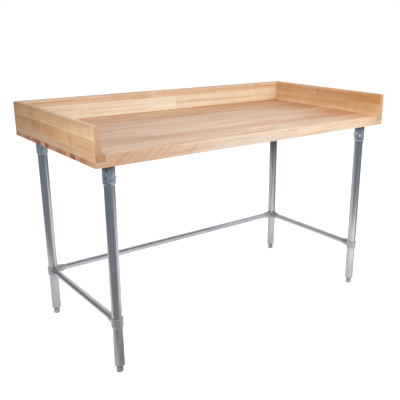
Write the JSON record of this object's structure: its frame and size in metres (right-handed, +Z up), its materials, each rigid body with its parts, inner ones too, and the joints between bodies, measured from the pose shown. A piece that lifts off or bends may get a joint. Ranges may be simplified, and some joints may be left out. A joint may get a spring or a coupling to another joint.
{
  "type": "butcher block table",
  "caption": "Edge-grain maple work table with a coved riser on three sides, on galvanised tube legs with an adjustable three-sided lower brace and screw-in bullet feet.",
  "frame": {"origin": "on the floor, under the middle of the worktop", "axes": "+X along the length, to the right of a person at the open front; +Y from the front to the riser at the back; +Z up"},
  "size_m": [1.524, 0.762, 0.9965],
  "materials": {
    "maple_worktop": "oiled edge-grain maple, satin",
    "maple_riser": "oiled maple boards, satin",
    "galvanised_tube": "galvanised, mottled, semi-matt",
    "galvanised_socket": "galvanised with a visible spangle",
    "cast_alloy": "sand-cast, matt grey",
    "plated_steel": "zinc-plated, satin",
    "bright_steel": "bright zinc"
  },
  "bodies": {
    "root": {"top_stave_01": "maple_worktop", "top_stave_02": "maple_worktop", "top_stave_03": "maple_worktop", "top_stave_04": "maple_worktop", "top_stave_05": "maple_worktop", "top_stave_06": "maple_worktop", "top_stave_07": "maple_worktop", "top_stave_08": "maple_worktop", "top_stave_09": "maple_worktop", "top_stave_10": "maple_worktop", "top_stave_11": "maple_worktop", "top_stave_12": "maple_worktop", "top_stave_13": "maple_worktop", "top_stave_14": "maple_worktop", "top_stave_15": "maple_worktop", "top_stave_16": "maple_worktop", "top_stave_17": "maple_worktop", "top_stave_18": "maple_worktop", "top_stave_19": "maple_worktop", "back_riser_toe_board": "maple_riser", "back_riser_cove_board": "maple_riser", "back_riser_top_board": "maple_riser", "left_riser_toe_board": "maple_riser", "left_riser_cove_board": "maple_riser", "left_riser_top_board": "maple_riser", "right_riser_toe_board": "maple_riser", "right_riser_cove_board": "maple_riser", "right_riser_top_board": "maple_riser", "front_left_leg_socket": "galvanised_socket", "front_right_leg_socket": "galvanised_socket", "back_left_leg_socket": "galvanised_socket", "back_right_leg_socket": "galvanised_socket", "front_left_leg": "galvanised_tube", "front_right_leg": "galvanised_tube", "back_left_leg": "galvanised_tube", "back_right_leg": "galvanised_tube", "front_left_foot_insert": "plated_steel", "front_right_foot_insert": "plated_steel", "back_left_foot_insert": "plated_steel", "back_right_foot_insert": "plated_steel", "plate_screws": "bright_steel", "socket_set_bolts": "bright_steel"},
    "lower_brace": {"front_left_brace_collar": "cast_alloy", "front_right_brace_collar": "cast_alloy", "back_left_brace_collar": "cast_alloy", "back_right_brace_collar": "cast_alloy", "left_brace_tube": "galvanised_tube", "right_brace_tube": "galvanised_tube", "back_brace_tube": "galvanised_tube", "collar_set_screws": "bright_steel", "brace_set_screws": "bright_steel"},
    "front_left_foot": {"front_left_foot_stem": "bright_steel", "front_left_bullet_foot": "plated_steel"},
    "front_right_foot": {"front_right_foot_stem": "bright_steel", "front_right_bullet_foot": "plated_steel"},
    "back_left_foot": {"back_left_foot_stem": "bright_steel", "back_left_bullet_foot": "plated_steel"},
    "back_right_foot": {"back_right_foot_stem": "bright_steel", "back_right_bullet_foot": "plated_steel"}
  },
  "joints": [
    {"name": "lower_brace_height", "type": "slide", "parent": "root", "child": "lower_brace", "axis": [0, 0, 1], "range_m": [-0.15, 0.5]},
    {"name": "front_left_foot_height", "type": "slide", "parent": "root", "child": "front_left_foot", "axis": [0, 0, -1], "range_m": [-0.003, 0.022]},
    {"name": "front_right_foot_height", "type": "slide", "parent": "root", "child": "front_right_foot", "axis": [0, 0, -1], "range_m": [-0.003, 0.022]},
    {"name": "back_left_foot_height", "type": "slide", "parent": "root", "child": "back_left_foot", "axis": [0, 0, -1], "range_m": [-0.003, 0.022]},
    {"name": "back_right_foot_height", "type": "slide", "parent": "root", "child": "back_right_foot", "axis": [0, 0, -1], "range_m": [-0.003, 0.022]}
  ]
}
